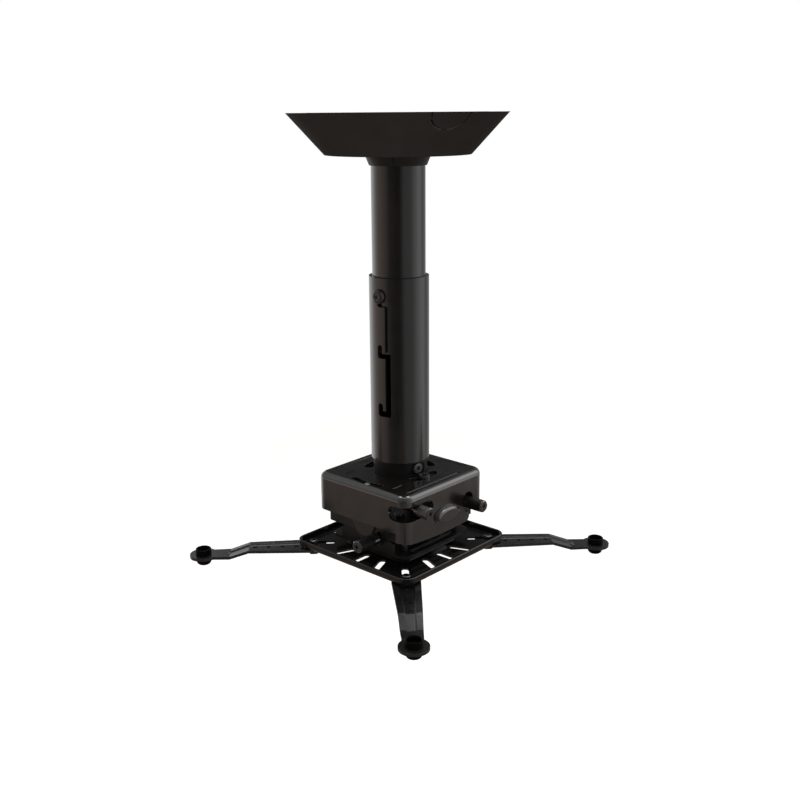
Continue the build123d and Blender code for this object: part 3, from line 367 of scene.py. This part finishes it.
# Arms: pressed steel strips in a powder coat a little rougher than the plate's, each clamped in its corner
# slot by a screw and nut in black zinc. At the tip a moulded foot hangs below, held by a hollow moulded
# thumb ring above.
black_zinc = plating("black_zinc", dark=(0.05, 0.05, 0.052), pale=(0.1, 0.1, 0.1))
arm_powder = black_coat(
    "arm_powder", shade=(0.0045, 0.0045, 0.0045), roughness=0.235, gloss=0.65,
    grain=0.0011, relief=0.000001, edge=0.0002,
)
foot_moulding = black_coat(
    "foot_moulding", shade=(0.0022, 0.0022, 0.0021), roughness=0.4, gloss=0.03, grain=0.0005, relief=0.000004,
)
for corner in ("front", "right", "rear", "left"):
    clad(arm_powder, f"arm_{corner}")
    clad(black_zinc, f"arm_screw_{corner}", f"arm_nut_{corner}")
    clad(foot_moulding, f"thumb_ring_{corner}", f"foot_{corner}")

# Camera: level with the ceiling, looking down on the mount from its front right corner. The focal
# length is in pixels of the square picture.
camera_azimuth = math.radians(42.17)
camera_distance = 0.8478
camera_pitch = math.radians(15.65)
camera_roll = math.radians(-0.474)
focal_pixels = 1028
picture_pixels = 800
camera = bpy.data.objects.new("camera", bpy.data.cameras.new("camera"))
bpy.context.scene.collection.objects.link(camera)
camera.data.sensor_width = 36
camera.data.lens = focal_pixels / picture_pixels * camera.data.sensor_width
camera.location = (camera_distance * math.sin(camera_azimuth), -camera_distance * math.cos(camera_azimuth), 0)
camera.rotation_mode = "XYZ"
camera.rotation_euler = (math.radians(90) - camera_pitch, 0, camera_azimuth)
camera.rotation_euler.rotate_axis("Z", camera_roll)
bpy.context.scene.camera = camera

# Floor: pale to the camera, and far below the mount as in a room. In the mount's gloss it is the dimmer,
# warmer floor of a studio. It keeps the mount's shadow.
floor_height = -1.5
floor_reach = 3
floor_pale = (0.8, 0.8, 0.8, 1)
floor_dim = (0.4, 0.35, 0.32, 1)
floor_lift = 0.57
floor_mesh = bpy.data.meshes.new("floor")
floor_corners = np.array([(-1, -1, 0), (1, -1, 0), (1, 1, 0), (-1, 1, 0)]) * floor_reach
floor_mesh.from_pydata((floor_corners + (0, 0, floor_height)).tolist(), [], [(0, 1, 2, 3)])
floor = bpy.data.objects.new("floor", floor_mesh)
bpy.context.scene.collection.objects.link(floor)
floor_paint = bpy.data.materials.new("floor_paint")
floor_paint.use_nodes = True
floor_tree = floor_paint.node_tree
floor_tree.nodes.clear()
floor_ray = floor_tree.nodes.new("ShaderNodeLightPath")
floor_tint = floor_tree.nodes.new("ShaderNodeValToRGB")
floor_tint.color_ramp.elements[0].color = floor_dim
floor_tint.color_ramp.elements[1].color = floor_pale
floor_matt = floor_tree.nodes.new("ShaderNodeBsdfDiffuse")
floor_glow = floor_tree.nodes.new("ShaderNodeEmission")
floor_sum = floor_tree.nodes.new("ShaderNodeAddShader")
floor_white = floor_tree.nodes.new("ShaderNodeMath")
floor_white.operation = "MULTIPLY"
floor_white.inputs[1].default_value = floor_lift
floor_out = floor_tree.nodes.new("ShaderNodeOutputMaterial")
floor_tree.links.new(floor_ray.outputs["Is Camera Ray"], floor_tint.inputs["Fac"])
floor_tree.links.new(floor_tint.outputs["Color"], floor_matt.inputs["Color"])
floor_tree.links.new(floor_ray.outputs["Is Camera Ray"], floor_white.inputs[0])
floor_tree.links.new(floor_white.outputs[0], floor_glow.inputs["Strength"])
floor_tree.links.new(floor_matt.outputs[0], floor_sum.inputs[0])
floor_tree.links.new(floor_glow.outputs[0], floor_sum.inputs[1])
floor_tree.links.new(floor_sum.outputs[0], floor_out.inputs["Surface"])
floor_mesh.materials.append(floor_paint)

# Softbox: the one lamp, wide and soft. It hangs above and a little behind the mount, tipped towards it,
# and shines in the arms' slopes.
softbox_side = 1.4
softbox_watts = 40
softbox_place = (-0.3, 0.35, 1.6)
softbox_tilt = (math.radians(-10), math.radians(-8), 0)
softbox = bpy.data.lights.new("softbox", "AREA")
softbox.shape = "RECTANGLE"
softbox.size = softbox_side
softbox.size_y = softbox_side
softbox.energy = softbox_watts
softbox_stand = bpy.data.objects.new("softbox", softbox)
bpy.context.scene.collection.objects.link(softbox_stand)
softbox_stand.location = softbox_place
softbox_stand.rotation_euler = softbox_tilt

# Studio walls: white to the camera. In the mount's gloss they are four bands of tones, each by compass
# bearing from the camera's side: panels below the eye line, a band at the horizon, panels above it, and
# panels overhead. A fill from the camera's side lights the matt pieces.
world = bpy.data.worlds.new("studio")
bpy.context.scene.world = world
world.use_nodes = True
wall_tree = world.node_tree
wall_tree.nodes.clear()
wall_place = wall_tree.nodes.new("ShaderNodeTexCoord")
wall_parts = wall_tree.nodes.new("ShaderNodeSeparateXYZ")
towards = wall_tree.nodes.new("ShaderNodeVectorMath")
towards.operation = "DOT_PRODUCT"
towards.inputs[1].default_value = (math.sin(camera_azimuth), -math.cos(camera_azimuth), 0)
rightwards = wall_tree.nodes.new("ShaderNodeVectorMath")
rightwards.operation = "DOT_PRODUCT"
rightwards.inputs[1].default_value = (math.cos(camera_azimuth), math.sin(camera_azimuth), 0)
bearing = wall_tree.nodes.new("ShaderNodeMath")
bearing.operation = "ARCTAN2"
bearing_share = wall_tree.nodes.new("ShaderNodeMapRange")
bearing_share.inputs["From Min"].default_value = -math.pi
bearing_share.inputs["From Max"].default_value = math.pi
wall_tree.links.new(wall_place.outputs["Generated"], wall_parts.inputs[0])
wall_tree.links.new(wall_place.outputs["Generated"], towards.inputs[0])
wall_tree.links.new(wall_place.outputs["Generated"], rightwards.inputs[0])
wall_tree.links.new(rightwards.outputs["Value"], bearing.inputs[0])
wall_tree.links.new(towards.outputs["Value"], bearing.inputs[1])
wall_tree.links.new(bearing.outputs[0], bearing_share.inputs["Value"])


def panels(*tones):
    """A ramp over the bearing: pairs of a bearing in degrees and the colour of the wall there."""
    band = wall_tree.nodes.new("ShaderNodeValToRGB")
    ramp = band.color_ramp
    while len(ramp.elements) < len(tones):
        ramp.elements.new(0.5)
    for stop, (degrees, colour) in zip(ramp.elements, tones):
        stop.position = (degrees + 180) / 360
        stop.color = (*colour, 1)
    wall_tree.links.new(bearing_share.outputs[0], band.inputs["Fac"])
    return band.outputs["Color"]


def grey(tone):
    """A neutral colour of that tone."""
    return (tone, tone, tone)


def over(lower, upper, share):
    """The lower colour where the share is 0 and the upper one where it is 1."""
    mix = wall_tree.nodes.new("ShaderNodeMix")
    mix.data_type = "RGBA"
    first, second = [socket for socket in mix.inputs if socket.type == "RGBA"]
    wall_tree.links.new(lower, first)
    wall_tree.links.new(upper, second)
    wall_tree.links.new(share, mix.inputs[0])
    return [socket for socket in mix.outputs if socket.type == "RGBA"][0]


def above(start, end):
    """0 below the elevation start and 1 above end, in degrees."""
    share = wall_tree.nodes.new("ShaderNodeMapRange")
    share.interpolation_type = "SMOOTHSTEP"
    share.inputs["From Min"].default_value = math.sin(math.radians(start))
    share.inputs["From Max"].default_value = math.sin(math.radians(end))
    wall_tree.links.new(wall_parts.outputs["Z"], share.inputs["Value"])
    return share.outputs["Result"]


low_panels = panels(
    (-180, grey(0.5)), (-132, grey(1.6)), (-100, (1.0, 0.84, 0.76)), (-74, (0.85, 0.66, 0.57)),
    (-58, (0.6, 0.5, 0.45)), (-40, grey(0.16)), (-8, grey(0.03)), (6, grey(0.06)), (22, grey(0.5)),
    (52, grey(0.6)), (72, grey(1.2)), (92, grey(1.6)), (106, grey(1.3)), (122, grey(0.5)), (180, grey(0.5)),
)
horizon_panels = panels(
    (-180, grey(0.12)), (-172, grey(0.25)), (-162, grey(2.2)), (-128, grey(0.6)), (-60, grey(0.35)),
    (0, grey(0.1)), (60, grey(0.7)), (100, grey(1.4)), (140, grey(0.7)), (162, grey(0.45)),
    (172, grey(0.25)), (180, grey(0.12)),
)
high_panels = panels(
    (-180, grey(0.035)), (-174, grey(0.06)), (-168, grey(0.4)), (-150, grey(0.35)), (-125, grey(0.45)),
    (-104, grey(0.75)), (-60, grey(0.4)), (0, grey(0.3)), (70, grey(0.8)), (112, grey(3)), (140, grey(0.4)),
    (160, grey(0.22)), (168, (0.17, 0.19, 0.22)), (175, grey(0.06)), (180, grey(0.035)),
)
top_panels = panels(
    (-180, grey(3)), (-130, grey(1.5)), (-90, grey(0.6)), (0, grey(0.4)), (90, grey(0.9)),
    (130, grey(1.8)), (180, grey(3)),
)
lower_walls = over(low_panels, horizon_panels, above(-1, 3))
gloss_walls = over(over(lower_walls, high_panels, above(10, 16)), top_panels, above(48, 60))
fill_walls = panels(
    (-180, grey(0.2)), (-90, (0.2, 0.18, 0.17)), (-45, (0.65, 0.6, 0.57)), (0, (2.0, 1.85, 1.74)),
    (45, (0.5, 0.48, 0.47)), (90, grey(0.15)), (180, grey(0.2)),
)
white_walls = panels((-180, grey(1)), (180, grey(1)))
wall_ray = wall_tree.nodes.new("ShaderNodeLightPath")
wall_glow = wall_tree.nodes.new("ShaderNodeBackground")
wall_out = wall_tree.nodes.new("ShaderNodeOutputWorld")
lit_walls = over(fill_walls, gloss_walls, wall_ray.outputs["Is Glossy Ray"])
seen_walls = over(lit_walls, white_walls, wall_ray.outputs["Is Camera Ray"])
wall_tree.links.new(seen_walls, wall_glow.inputs["Color"])
wall_tree.links.new(wall_glow.outputs[0], wall_out.inputs["Surface"])

bpy.context.scene.view_settings.view_transform = "Standard"
